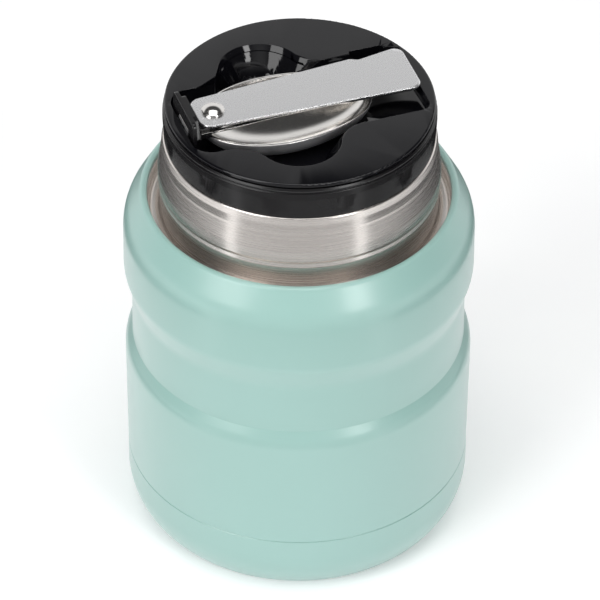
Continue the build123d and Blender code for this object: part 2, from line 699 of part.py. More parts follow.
# Panel with the pocket that the spoon lies in: shallow tray, bowl hollow, two finger scoops.
tray_floor_z = deck_top_z + PANEL
bowl_place = across_jar(rim_z) * Location((bowl_along, 0, 0))
pad_bottom_z = rim_z - BOWL_DEPTH - BOWL_CLEAR - PANEL / 2
with BuildPart() as stopper_tray:
    with BuildSketch(across_jar(deck_top_z)):
        add(recess_outline())
        offset(amount=PANEL)
    extrude(amount=skirt_top_z - deck_top_z)
    for side in (-1, 1):
        with BuildSketch(across_jar(stopper_top_z - PANEL)):
            add(scoop_outline(side))
            offset(amount=PANEL)
        extrude(amount=-SCOOP_DEPTH, taper=SCOOP_TAPER)
    add(bowl_place * egg_bowl(BOWL_CLEAR + PANEL))
    with Locations((0, 0, plug_bottom_z)):
        Cylinder(skirt_inner_r - SEAT_GAP, skirt_top_z - plug_bottom_z, align=upward, mode=Mode.INTERSECT)
    with BuildSketch(Plane.XZ):
        with BuildLine():
            FilletPolyline(
                (0, skirt_top_z),
                (panel_r - EDGE_GROOVE, skirt_top_z),
                (panel_r - EDGE_GROOVE, skirt_top_z + EDGE_GROOVE),
                (panel_r, skirt_top_z + EDGE_GROOVE),
                (panel_r, stopper_top_z),
                (0, stopper_top_z),
                radius=[0, 0, 0, SEAT_GAP, PANEL_BLEND, 0],
                close=True,
            )
        make_face()
    revolve(axis=Axis.Z)
    with BuildSketch(across_jar(tray_floor_z)):
        add(recess_outline())
    extrude(amount=stopper_top_z - tray_floor_z, mode=Mode.SUBTRACT)
    for side in (-1, 1):
        with BuildSketch(across_jar(stopper_top_z)):
            add(scoop_outline(side))
        extrude(amount=-SCOOP_DEPTH, taper=SCOOP_TAPER, mode=Mode.SUBTRACT)
    add(bowl_place * egg_bowl(BOWL_CLEAR), mode=Mode.SUBTRACT)
    with BuildSketch(bowl_place):
        add(egg_rim(BOWL_CLEAR))
    extrude(amount=RIM_DROP, mode=Mode.SUBTRACT)
    with Locations(across_jar(pad_bottom_z)):
        with Locations((bowl_along, 0)):
            Cylinder(PAD_R, PAD_HEIGHT, align=upward)
    add(bowl_place * egg_bowl(), mode=Mode.SUBTRACT)
stopper_tray.part.label = "stopper_tray"

# ---------------------------------------------------------------- folding spoon
eye_bottom_z = pin_z - EYE_R
shank_bend = pin_along + SHANK_REACH
heel_along = pin_along + HEEL_FROM_PIN + BOWL_WALL
shank_fall = eye_bottom_z + SHANK - rim_z
with BuildPart() as spoon_bowl:
    add(bowl_place * egg_bowl())
    with BuildSketch(along_jar(0)):
        with BuildLine():
            FilletPolyline(
                (pin_along, eye_bottom_z),
                (shank_bend, eye_bottom_z),
                (heel_along + SHANK, eye_bottom_z - shank_fall),
                (heel_along + SHANK, rim_z),
                (shank_bend, eye_bottom_z + SHANK),
                (pin_along, eye_bottom_z + SHANK),
                radius=[0, SHANK_BLEND, 0, 0, SHANK_BLEND, 0],
                close=True,
            )
        make_face()
    extrude(amount=SHANK_HALF, both=True)
    with Locations(along_jar(pin_along)):
        with Locations((0, pin_z)):
            Cylinder(EYE_R, 2 * SHANK_HALF)
            Cylinder(PIN_R + PIN_CLEAR, 2 * SHANK_HALF, mode=Mode.SUBTRACT)
    add(bowl_place * egg_bowl(-BOWL_WALL), mode=Mode.SUBTRACT)
spoon_bowl.part.label = "spoon_bowl"

# Hinge block: upright tab in two layers, barrel round the pin, and a body under the handle
# with a boss for the rivet. The slot lets the eye and shank through; its top edge stops the
# open handle. Ledges at both sides carry the ends of the spring's fork.
tab_along = recess_hinge_end + TAB_MARGIN
tab_top_z = plate_top_z + TAB_RISE
slot_half = SHANK_HALF + EYE_SIDE_GAP
slot_top_z = pin_z + EYE_R + STOP_GAP
fork_z = plate_bottom_z - SPRING_DROP
fork_end = pin_along + FORK_SHY
tab_layers = [
    (tab_along, TAB_OUTER, 0),
    (tab_along + TAB_OUTER, TAB_INNER, TAB_STEP),
]
with BuildPart() as hinge_block:
    for layer_along, layer, narrower in tab_layers:
        with BuildSketch(square_to_spoon(layer_along)):
            with BuildLine():
                FilletPolyline(
                    (-TAB_BASE_HALF, pin_z - TAB_DROP),
                    (TAB_BASE_HALF, pin_z - TAB_DROP),
                    (TAB_TOP_HALF - narrower, tab_top_z),
                    (narrower - TAB_TOP_HALF, tab_top_z),
                    radius=[0, 0, TAB_CORNER_R, TAB_CORNER_R],
                    close=True,
                )
            make_face()
        extrude(amount=layer)
    tab_top = hinge_block.faces().filter_by(Axis.Z).sort_by(Axis.Z)[-1]
    fillet(tab_top.edges().filter_by(lambda edge: edge.length > TAB_TOP_HALF), TAB_EDGE_R)
    with Locations(along_jar(pin_along)):
        with Locations((0, pin_z)):
            Cylinder(BARREL_R, 2 * BLOCK_HALF)
    with BuildSketch(across_jar(block_bottom_z)):
        with Locations((pin_along, 0)):
            Rectangle(BLOCK_REACH, 2 * BLOCK_HALF, align=(Align.MIN, Align.CENTER))
        with Locations((rivet_along, 0)):
            Circle(BOSS_R)
            Rectangle(rivet_along - block_end + BOSS_R, 2 * BOSS_R, align=(Align.MAX, Align.CENTER))
    extrude(amount=plate_bottom_z - block_bottom_z)
    with BuildSketch(across_jar(fork_z - SPRING - SEAT_GAP)):
        with Locations((fork_end - SEAT_GAP, 0)):
            Rectangle(BLOCK_REACH, 2 * BLOCK_HALF, align=(Align.MIN, Align.CENTER))
        with Locations((fork_end - SEAT_GAP, 0)):
            Rectangle(
                BLOCK_REACH,
                2 * (FORK_HALF - SEAT_GAP),
                align=(Align.MIN, Align.CENTER),
                mode=Mode.SUBTRACT,
            )
    extrude(amount=plate_bottom_z - fork_z + SPRING + SEAT_GAP, mode=Mode.SUBTRACT)
    with BuildSketch(along_jar(0)):
        with Locations((tab_along - BARREL_R, slot_top_z)):
            Rectangle(
                pin_along + SLOT_REACH - tab_along + BARREL_R,
                slot_top_z - pin_z + 2 * BARREL_R,
                align=(Align.MIN, Align.MAX),
            )
    extrude(amount=slot_half, both=True, mode=Mode.SUBTRACT)
    with Locations(along_jar(pin_along)):
        with Locations((0, pin_z)):
            Cylinder(PIN_R, 2 * TAB_BASE_HALF, mode=Mode.SUBTRACT)
    with Locations(across_jar(block_bottom_z)):
        with Locations((rivet_along, 0)):
            Cylinder(RIVET_R, plate_bottom_z - block_bottom_z, align=upward, mode=Mode.SUBTRACT)
            Cylinder(RIVET_FOOT_R, RIVET_FOOT, align=upward, mode=Mode.SUBTRACT)
hinge_block.part.label = "hinge_block"

with BuildPart() as hinge_pin:
    with Locations(along_jar(pin_along)):
        with Locations((0, pin_z)):
            Cylinder(PIN_R, 2 * (BLOCK_HALF - PIN_SHY))
    chamfer(hinge_pin.edges().filter_by(GeomType.CIRCLE), PIN_R / 4)
hinge_pin.part.label = "hinge_pin"

rivet_axis = Axis((rivet_along * COS_A, rivet_along * SIN_A, 0), (0, 0, 1))
dome_top = (0, plate_top_z + RIVET_HEAD)
dome_rise = RIVET_HEAD - RIVET_RIM
dome_r = (RIVET_HEAD_R**2 + dome_rise**2) / (2 * dome_rise)
with BuildPart() as handle_rivet:
    with BuildSketch(along_jar(rivet_along)):
        with BuildLine():
            side_line = Polyline(
                dome_top,
                (0, block_bottom_z),
                (RIVET_FOOT_R, block_bottom_z),
                (RIVET_FOOT_R, block_bottom_z + RIVET_FOOT),
                (RIVET_R, block_bottom_z + RIVET_FOOT),
                (RIVET_R, plate_top_z),
                (RIVET_HEAD_R, plate_top_z),
                (RIVET_HEAD_R, plate_top_z + RIVET_RIM),
            )
            RadiusArc(side_line @ 1, dome_top, -dome_r)
        make_face()
    revolve(axis=rivet_axis)
handle_rivet.part.label = "handle_rivet"


def plate_outline():
    """Outline of the handle in along / across coordinates."""
    start = pin_along + PLATE_REACH
    relief_along = plate_end - RELIEF_MARGIN
    slope = PLATE_BACK_OUT / (plate_end - start)
    step_half = PLATE_END_HALF + slope * (relief_along - start)
    with BuildSketch() as outline:
        with BuildLine():
            FilletPolyline(
                (start, -PLATE_END_HALF),
                (plate_end, -PLATE_END_HALF - PLATE_FRONT_OUT),
                (plate_end, PLATE_END_HALF + PLATE_BACK_OUT),
                (relief_along + RELIEF_RUN, step_half - RELIEF),
                (relief_along, step_half),
                (start, PLATE_END_HALF),
                radius=[PLATE_END_R, PLATE_CORNER_R, PLATE_CORNER_R, RELIEF, RELIEF, PLATE_END_R],
                close=True,
            )
        make_face()
    return outline.sketch


with BuildPart() as handle_plate:
    with BuildSketch(across_jar(plate_bottom_z)):
        add(plate_outline())
    extrude(amount=PLATE)
    chamfer(handle_plate.edges().group_by(Axis.Z)[-1], PLATE_BEVEL)
    with Locations(across_jar(plate_bottom_z)):
        with Locations((rivet_along, 0)):
            Cylinder(RIVET_R, PLATE, align=upward, mode=Mode.SUBTRACT)
handle_plate.part.label = "handle_plate"

# Spring leaf: flat against the handle, then dropping to a fork that straddles the boss.
leaf_meets = pin_along + SPRING_REACH
leaf_right = plate_end - SPRING_MARGIN
fork_root = pin_along + FORK_REACH
arm_length = FORK_REACH - FORK_SHY
with BuildPart() as handle_spring:
    with BuildSketch(along_jar(0)):
        with BuildLine():
            FilletPolyline(
                (fork_end, fork_z),
                (fork_root, fork_z),
                (leaf_meets, plate_bottom_z),
                (leaf_right, plate_bottom_z),
                (leaf_right, plate_bottom_z - SPRING),
                (leaf_meets, plate_bottom_z - SPRING),
                (fork_root, fork_z - SPRING),
                (fork_end, fork_z - SPRING),
                radius=[0, SPRING_BLEND, SPRING_BLEND, 0, 0, SPRING_BLEND, SPRING_BLEND, 0],
                close=True,
            )
        make_face()
    extrude(amount=PLATE_END_HALF + PLATE_BACK_OUT, both=True)
    with BuildSketch(across_jar(block_bottom_z)):
        add(plate_outline())
        offset(amount=-SPRING_INSET)
        with Locations((fork_root, 0)):
            Rectangle(arm_length, 2 * (FORK_HALF + FORK_ARM), align=(Align.MAX, Align.CENTER))
            Rectangle(FORK_REACH, 2 * FORK_HALF, align=(Align.MAX, Align.CENTER), mode=Mode.SUBTRACT)
    extrude(amount=plate_top_z - block_bottom_z, mode=Mode.INTERSECT)
handle_spring.part.label = "handle_spring"

# ---------------------------------------------------------------- export
export_step(outer_shell.part, "parts/outer_shell.step")
export_step(neck_ring.part, "parts/neck_ring.step")
export_step(base_cup.part, "parts/base_cup.step")
export_step(base_disc.part, "parts/base_disc.step")
export_step(vacuum_seal.part, "parts/vacuum_seal.step")
export_step(inner_vessel.part, "parts/inner_vessel.step")
export_step(radiation_shield.part, "parts/radiation_shield.step")
export_step(getter.part, "parts/getter.step")
export_step(getter_clip.part, "parts/getter_clip.step")
export_step(sealing_ring.part, "parts/sealing_ring.step")
export_step(stopper_body.part, "parts/stopper_body.step")
export_step(stopper_base.part, "parts/stopper_base.step")
export_step(stopper_foam.part, "parts/stopper_foam.step")
export_step(stopper_tray.part, "parts/stopper_tray.step")
export_step(spoon_bowl.part, "parts/spoon_bowl.step")
export_step(hinge_block.part, "parts/hinge_block.step")
export_step(hinge_pin.part, "parts/hinge_pin.step")
export_step(handle_rivet.part, "parts/handle_rivet.step")
export_step(handle_plate.part, "parts/handle_plate.step")
export_step(handle_spring.part, "parts/handle_spring.step")
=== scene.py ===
import bpy
import bmesh
import json
from math import ceil, cos, degrees, pi, radians, sin, sqrt, tan
from mathutils import Matrix, Vector

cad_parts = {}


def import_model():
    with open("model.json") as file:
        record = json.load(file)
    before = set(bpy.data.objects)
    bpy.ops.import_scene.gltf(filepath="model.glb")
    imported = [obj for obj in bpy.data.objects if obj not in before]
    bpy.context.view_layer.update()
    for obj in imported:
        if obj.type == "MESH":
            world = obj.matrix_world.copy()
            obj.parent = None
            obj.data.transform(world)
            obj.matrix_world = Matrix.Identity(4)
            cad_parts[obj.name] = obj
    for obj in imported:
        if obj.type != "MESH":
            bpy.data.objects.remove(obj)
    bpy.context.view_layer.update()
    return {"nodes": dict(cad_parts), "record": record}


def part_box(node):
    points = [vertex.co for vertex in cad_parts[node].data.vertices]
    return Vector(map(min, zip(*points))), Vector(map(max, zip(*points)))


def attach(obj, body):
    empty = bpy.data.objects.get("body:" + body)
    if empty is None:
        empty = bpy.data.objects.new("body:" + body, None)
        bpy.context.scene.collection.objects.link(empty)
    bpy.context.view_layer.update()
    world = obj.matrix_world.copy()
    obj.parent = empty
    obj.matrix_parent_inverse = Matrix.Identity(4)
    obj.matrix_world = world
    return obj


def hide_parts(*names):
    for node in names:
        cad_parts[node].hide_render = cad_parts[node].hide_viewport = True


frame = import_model()
MM = 0.001

# ------------------------------------------------------------------ sizes, in millimetres
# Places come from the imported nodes. The steps between them are those of the CAD model.


def lowest(node):
    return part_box(node)[0] / MM


def highest(node):
    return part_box(node)[1] / MM


WALL = 0.6                       # sheet of shell, base cup and neck

# Outer shell, from the seam up
WAIST_IN = 2.2                   # radii, measured in from the shoulder
LOWER_IN = 0.2
SEAM_IN = 0.6
COLLAR_IN = 6.5
LOWER_HEIGHT = 38.3
WAIST_HEIGHT = 15.5
FLARE_HEIGHT = 7.0               # from waist out to shoulder
SHOULDER_HEIGHT = 24.5           # up to the crest
CURL_DEPTH = 1.6
SEAM_BEVEL = 0.22
SEAM_TAPER = 2.0
CREASE_HEIGHT = 3.6
COLLAR_FALL = 8.6
CREST_WIDTH = 1.5
CREST_RISE = 0.35
CURL_EDGE = 0.3                  # curl's inner edge below the crest
WAIST_LEAN = 0.05
SEAM_BLEND = 10.0                # radii of the outside's bends
LOWER_BLEND = 7.0
CREASE_BLEND = 0.5
WAIST_BLEND = 11.0
SHOULDER_BLEND = 9.0
COLLAR_BLEND = 14.0
COLLAR_INNER_BLEND = 13.0
CREST_BLEND = 1.3
CURL_BLEND = 0.6
shoulder_r = highest("outer_shell").x
seam_z = lowest("outer_shell").z
waist_r = shoulder_r - WAIST_IN
lower_r = shoulder_r - LOWER_IN
seam_r = shoulder_r - SEAM_IN
collar_r = shoulder_r - COLLAR_IN
crease_z = seam_z + LOWER_HEIGHT
waist_top_z = crease_z + WAIST_HEIGHT
shoulder_z = waist_top_z + FLARE_HEIGHT
crest_z = shoulder_z + SHOULDER_HEIGHT
curl_z = crest_z - CURL_DEPTH

# Neck
CHANNEL_WIDTH = 3.35
SPIGOT_OUT = 0.45
NECK_CREASE_IN = 0.45
LIP_IN = 0.6
LIP_WIDTH = 1.9
CHANNEL_DEPTH = 6.0
BEAD_ABOVE = 3.3                 # heights above the crest
SPIGOT_ABOVE = 5.3
NECK_CREASE_ABOVE = 14.3
BEAD_LAND = 3.6
BEAD_OUT = 0.3
BEAD_HEIGHT = 1.1
SPIGOT_LENGTH = 3.0
LIP_BAND = 2.0
BAND_TAPER = 0.15
LAND_LEAN = 0.05
BEAD_FOOT = 0.1
NECK_CREASE_LEAN = 0.12
NECK_CREASE_HEIGHT = 0.6
CHANNEL_BLEND = 1.5
BEAD_EDGE = 0.15
NECK_BLEND = 0.5                 # usual rounding of the neck's bends
neck_r = collar_r - CHANNEL_WIDTH
spigot_r = neck_r + SPIGOT_OUT
crease_r = neck_r - NECK_CREASE_IN
lip_r = crease_r - LIP_IN
bore_r = lip_r - LIP_WIDTH
channel_z = crest_z - CHANNEL_DEPTH
bead_z = crest_z + BEAD_ABOVE
spigot_z = crest_z + SPIGOT_ABOVE
neck_crease_z = crest_z + NECK_CREASE_ABOVE
lip_z = highest("neck_ring").z

# Base cup
CORNER_R = 16.5
CORNER_Z = 12.0
FOOT_IN = 1.4
FOOT_WIDTH = 3.6
FOOT_SLOPE = 1.2
FOOT_HEIGHT = 2.4
PORT_R = 9.0
PORT_SLOPE = 2.2
PORT_DEPTH = 2.6
FOOT_BLEND = 1.0
PORT_BLEND = 1.2
PORT_INNER_BLEND = 0.6
SEAL_R = 2.6

# Spoon, in distances along it and across it
ANGLE = radians(19.5)            # the spoon's direction on the stopper
ALONG = Vector((cos(ANGLE), sin(ANGLE), 0))
ACROSS = Vector((-sin(ANGLE), cos(ANGLE), 0))
PIN_ALONG = -30.6
BOWL_FROM_PIN = 24.6
RIVET_FROM_PIN = 6.5
RIM_DEPTH = 1.6                  # bowl's rim below the panel
panel_top_z = highest("stopper_tray").z
rim_z = panel_top_z - RIM_DEPTH
bowl_along = PIN_ALONG + BOWL_FROM_PIN
rivet_along = PIN_ALONG + RIVET_FROM_PIN
plate_top_z = highest("handle_plate").z
block_bottom_z = lowest("handle_rivet").z
RIVET_HEAD_R = 3.05
RIVET_RIM = 0.5
RIVET_R = 1.5
RIVET_FOOT_R = 2.5
RIVET_FOOT = 0.55
RIVET_EDGE = 0.25
RIVET_STEPS = 12

# Rounding of edges on the pieces that keep the CAD shape
SAME_POINT = 0.004               # vertices this near are one
FLAT = radians(0.3)              # facets this level with each other are one face
SAME_LEVEL = 0.01
SKIRT_ABOVE_LIP = 0.3            # the skirt is rounded above this height over the lip
PANEL_EDGE = 0.12
SKIRT_EDGE = 0.05
BOWL_EDGE = 0.2
HINGE_EDGE = 0.12
HANDLE_EDGE = 0.05
LEAF_EDGE = 0.06


def at(along, across, z):
    """A point given along the spoon, across it and up, in metres."""
    return (ALONG * along + ACROSS * across + Vector((0, 0, z))) * MM


# ------------------------------------------------------------------ materials
def rgb(r, g, b):
    """Linear colour from 0-255 display values."""
    out = []
    for value in (r, g, b):
        value /= 255
        out.append(value / 12.92 if value <= 0.04045 else ((value + 0.055) / 1.055) ** 2.4)
    return (*out, 1.0)


class Material:
    """A material with short ways to add and join nodes."""

    def __init__(self, name, **sockets):
        self.mat = bpy.data.materials.new(name)
        self.mat.use_nodes = True
        self.tree = self.mat.node_tree
        self.shader = self.tree.nodes["Principled BSDF"]
        for key, value in sockets.items():
            self.shader.inputs[key.replace("_", " ")].default_value = value

    def node(self, kind, **settings):
        made = self.tree.nodes.new(kind)
        for key, value in settings.items():
            if key.startswith("in_"):
                made.inputs[key[3:].replace("_", " ")].default_value = value
            else:
                setattr(made, key, value)
        return made

    def join(self, source, target):
        self.tree.links.new(source, target)

    def noise(self, scale, detail=3.0, rough=0.55, stretch=(1, 1, 1)):
        place = self.node("ShaderNodeTexCoord")
        sized = self.node("ShaderNodeMapping")
        sized.inputs["Scale"].default_value = stretch
        self.join(place.outputs["Object"], sized.inputs["Vector"])
        made = self.node("ShaderNodeTexNoise", in_Scale=scale, in_Detail=detail, in_Roughness=rough)
        self.join(sized.outputs["Vector"], made.inputs["Vector"])
        return made.outputs["Fac"]

    def spread(self, value, low, high):
        """Noise stretched to a range; little of it lies outside 0.3 to 0.7."""
        made = self.node("ShaderNodeMapRange")
        made.inputs["From Min"].default_value = 0.3
        made.inputs["From Max"].default_value = 0.7
        made.inputs["To Min"].default_value = low
        made.inputs["To Max"].default_value = high
        self.join(value, made.inputs["Value"])
        return made.outputs["Result"]

    def mix(self, factor, low, high):
        made = self.node("ShaderNodeMix", data_type="RGBA")
        made.inputs[6].default_value = low
        made.inputs[7].default_value = high
        self.join(factor, made.inputs[0])
        return made.outputs[2]

    def bump(self, height, strength, distance):
        made = self.node("ShaderNodeBump", in_Strength=strength, in_Distance=distance)
        self.join(height, made.inputs["Height"])
        self.join(made.outputs["Normal"], self.shader.inputs["Normal"])

    def to(self, socket, source):
        self.join(source, self.shader.inputs[socket])


def painted(name, low, high):
    m = Material(name, Specular_IOR_Level=0.5, Coat_Weight=1.0, Coat_Roughness=0.28, Coat_IOR=1.6)
    m.to("Base Color", m.mix(m.spread(m.noise(14, 2.0), 0.0, 1.0), low, high))
    m.to("Roughness", m.spread(m.noise(60, 4.0), 0.42, 0.5))
    m.bump(m.noise(2600, 2.0), 0.05, 0.00002)
    return m.mat


def brushed(name, low, high, rough, lines, aniso, strength):
    """Steel brushed round the vertical axis: fine rings of slightly different height and tone."""
    m = Material(name, Metallic=1.0, Anisotropic=aniso, Anisotropic_Rotation=0.25)
    rings = m.noise(1.0, 3.0, 0.6, stretch=(9, 9, lines))
    m.to("Base Color", m.mix(m.spread(rings, 0.0, 1.0), low, high))
    m.to("Roughness", m.spread(rings, *rough))
    around = m.node("ShaderNodeTangent", direction_type="RADIAL", axis="Z")
    m.join(around.outputs["Tangent"], m.shader.inputs["Tangent"])
    m.bump(rings, strength, 0.00003)
    return m.mat


def metal(name, low, high, rough, grain, strength):
    m = Material(name, Metallic=1.0)
    tone = m.noise(grain, 4.0)
    m.to("Base Color", m.mix(m.spread(tone, 0.0, 1.0), low, high))
    m.to("Roughness", m.spread(tone, *rough))
    m.bump(tone, strength, 0.00002)
    return m.mat


def plastic(name, low, high, rough, grain=1500, strength=0.05, **sockets):
    m = Material(name, **sockets)
    m.to("Base Color", m.mix(m.spread(m.noise(grain, 3.0), 0.0, 1.0), low, high))
    m.to("Roughness", m.spread(m.noise(40, 3.0), *rough))
    m.bump(m.noise(grain, 3.0), strength, 0.00003)
    return m.mat


MATERIALS = {
    "mint_paint": painted("mint_paint", rgb(148, 188, 180), rgb(152, 191, 184)),
    "steel_brushed": brushed(
        "steel_brushed", rgb(220, 214, 209), rgb(230, 225, 221), (0.22, 0.3), 7000, 0.6, 0.08
    ),
    "steel_plain": metal(
        "steel_plain", rgb(196, 193, 190), rgb(208, 206, 203), (0.25, 0.33), 900, 0.03
    ),
    "steel_satin": metal(
        "steel_satin", rgb(242, 242, 243), rgb(248, 248, 249), (0.26, 0.3), 2400, 0.015
    ),
    "steel_polished": metal(
        "steel_polished", rgb(222, 219, 216), rgb(228, 226, 223), (0.13, 0.17), 60, 0.0
    ),
    "steel_outside": metal(
        "steel_outside", rgb(232, 231, 233), rgb(238, 238, 240), (0.5, 0.56), 1200, 0.02
    ),
    "black_satin": plastic(
        "black_satin", rgb(12, 11, 13), rgb(16, 15, 17), (0.22, 0.3), Specular_IOR_Level=0.4
    ),
    "black_gloss": plastic(
        "black_gloss", rgb(8, 8, 12), rgb(12, 12, 16), (0.06, 0.1), strength=0.01
    ),
    "silicone": plastic("silicone", rgb(205, 206, 204), rgb(215, 216, 214), (0.45, 0.55)),
    "foam": plastic("foam", rgb(228, 226, 216), rgb(238, 236, 226), (0.8, 0.9), 700, 0.4),
    "foil": metal("foil", rgb(222, 222, 222), rgb(232, 232, 232), (0.12, 0.3), 120, 0.2),
    "getter_metal": metal(
        "getter_metal", rgb(90, 88, 86), rgb(104, 102, 100), (0.5, 0.65), 1800, 0.3
    ),
    "seal_glass": plastic("seal_glass", rgb(70, 76, 72), rgb(84, 90, 86), (0.1, 0.2)),
}
SLOTS = {row["node"]: row["material_slot"] for row in frame["record"]["subparts"]}
BODIES = {
    node: body
    for body, nodes in frame["record"]["behaviour"]["bodies"].items()
    for node in nodes
}
for node, slot in SLOTS.items():
    materials = frame["nodes"][node].data.materials
    materials.clear()
    materials.append(MATERIALS[slot])


# ------------------------------------------------------------------ pieces
def rounded(corners, turn=5.0):
    """Points of a closed outline (x, y, blend radius), with an arc point every few degrees."""
    points = []
    for i, (x, y, radius) in enumerate(corners):
        here = Vector((x, y))
        if not radius:
            points.append(here)
            continue
        before = (Vector(corners[i - 1][:2]) - here).normalized()
        after = (Vector(corners[(i + 1) % len(corners)][:2]) - here).normalized()
        half = before.angle(after) / 2
        centre = here + (before + after).normalized() * radius / sin(half)
        arm = here + before * radius / tan(half) - centre
        sweep = (pi - 2 * half) * (1 if before.cross(after) < 0 else -1)
        steps = ceil(abs(degrees(sweep)) / turn) + 1
        for k in range(steps + 1):
            points.append(centre + Matrix.Rotation(sweep * k / steps, 2) @ arm)
    return divided(points)


def divided(points, longest=2.0):
    """The same outline with no side longer than a limit, so that its shading stays true."""
    out = []
    for i, here in enumerate(points):
        out.append(here)
        there = points[(i + 1) % len(points)]
        parts = ceil((there - here).length / longest)
        out += [here.lerp(there, k / parts) for k in range(1, parts)]
    return out


def piece(name, mesh, node, sharp=32.0):
    """A finished piece that stands for a CAD node, rides on its body and takes its finish."""
    bmesh.ops.remove_doubles(mesh, verts=mesh.verts, dist=0.001 * MM)
    bmesh.ops.recalc_face_normals(mesh, faces=mesh.faces)
    data = bpy.data.meshes.new(name)
    mesh.to_mesh(data)
    mesh.free()
    data.shade_smooth()
    data.set_sharp_from_angle(angle=radians(sharp))
    data.materials.append(MATERIALS[SLOTS[node]])
    obj = bpy.data.objects.new(name, data)
    bpy.context.collection.objects.link(obj)
    flat = obj.modifiers.new("flat_faces", "WEIGHTED_NORMAL")
    flat.keep_sharp = True
    flat.weight = 80
    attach(obj, BODIES[node])
    return obj


def lathe(name, node, outline, axis=(0, 0), steps=240):
    """A closed outline of (radius, height) turned round an upright axis."""
    mesh = bmesh.new()
    rings = []
    for k in range(steps):
        a = 2 * pi * k / steps
        ring = []
        for r, z in outline:
            place = Vector((axis[0] + r * cos(a), axis[1] + r * sin(a), z))
            ring.append(mesh.verts.new(place * MM))
        rings.append(ring)
    for k, here in enumerate(rings):
        there = rings[(k + 1) % steps]
        for i in range(len(outline)):
            j = (i + 1) % len(outline)
            mesh.faces.new((here[i], there[i], there[j], here[j]))
    obj = piece(name, mesh, node)
    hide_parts(node)
    return obj


def outer_wall():
    """The painted shell, from the seam up over shoulder and crest into the curl."""
    outside = [
        (seam_r - SEAM_BEVEL, seam_z, 0),
        (seam_r, seam_z + SEAM_BEVEL, 0),
        (seam_r, seam_z + SEAM_TAPER, SEAM_BLEND),
        (lower_r, crease_z - CREASE_HEIGHT, LOWER_BLEND),
        (waist_r + WAIST_LEAN, crease_z, CREASE_BLEND),
        (waist_r, waist_top_z, WAIST_BLEND),
        (shoulder_r, shoulder_z, SHOULDER_BLEND),
        (shoulder_r, crest_z - COLLAR_FALL, COLLAR_BLEND),
        (collar_r + CREST_WIDTH, crest_z + CREST_RISE, CREST_BLEND),
        (collar_r, crest_z - CURL_EDGE, CURL_BLEND),
        (collar_r, curl_z, 0),
    ]
    inside = [
        (collar_r + WALL, curl_z, 0),
        (collar_r + WALL, crest_z - WALL, 0),
        (shoulder_r - WALL, crest_z - COLLAR_FALL, COLLAR_INNER_BLEND),
        (shoulder_r - WALL, shoulder_z, SHOULDER_BLEND + WALL),
        (waist_r - WALL, waist_top_z, WAIST_BLEND - WALL),
        (waist_r - WALL, crease_z, 0.3),
        (lower_r - WALL, crease_z - CREASE_HEIGHT, LOWER_BLEND - WALL),
        (seam_r - WALL, seam_z + SEAM_TAPER, SEAM_BLEND - WALL),
        (seam_r - WALL, seam_z, 0),
    ]
    lathe("outer_wall", "outer_shell", rounded(outside + inside))


def bare_neck():
    """The steel neck: channel, plain land, sharp bead, spigot bead, tapered band and lip."""
    outside = [
        (collar_r, curl_z, 0),
        (collar_r, channel_z, CHANNEL_BLEND),
        (neck_r, channel_z, CHANNEL_BLEND),
        (neck_r, bead_z - BEAD_LAND, 1.0),
        (neck_r + LAND_LEAN, bead_z - BEAD_OUT, BEAD_EDGE),
        (neck_r + BEAD_OUT, bead_z, BEAD_EDGE),
        (neck_r + BEAD_FOOT, bead_z + BEAD_HEIGHT, NECK_BLEND),
        (spigot_r, spigot_z, 0.4),
        (spigot_r, spigot_z + SPIGOT_LENGTH, 0.6),
        (crease_r + NECK_CREASE_LEAN, neck_crease_z - NECK_CREASE_HEIGHT, NECK_BLEND),
        (crease_r, neck_crease_z, 0.3),
        (crease_r - BAND_TAPER, lip_z - LIP_BAND, NECK_BLEND),
        (lip_r, lip_z, NECK_BLEND),
        (bore_r + WALL, lip_z, 0),
    ]
    inside = [
        (bore_r + WALL, lip_z - WALL, 0),
        (lip_r - WALL, lip_z - WALL, 0.3),
        (crease_r - BAND_TAPER - WALL, lip_z - LIP_BAND, NECK_BLEND),
        (spigot_r - WALL, spigot_z + SPIGOT_LENGTH, NECK_BLEND),
        (spigot_r - WALL, spigot_z, NECK_BLEND),
        (neck_r - WALL, bead_z, NECK_BLEND),
        (neck_r - WALL, channel_z - WALL, 1.0),
        (collar_r + WALL, channel_z - WALL, 2.0),
        (collar_r + WALL, curl_z, 0),
    ]
    lathe("bare_neck", "neck_ring", rounded(outside + inside), steps=320)


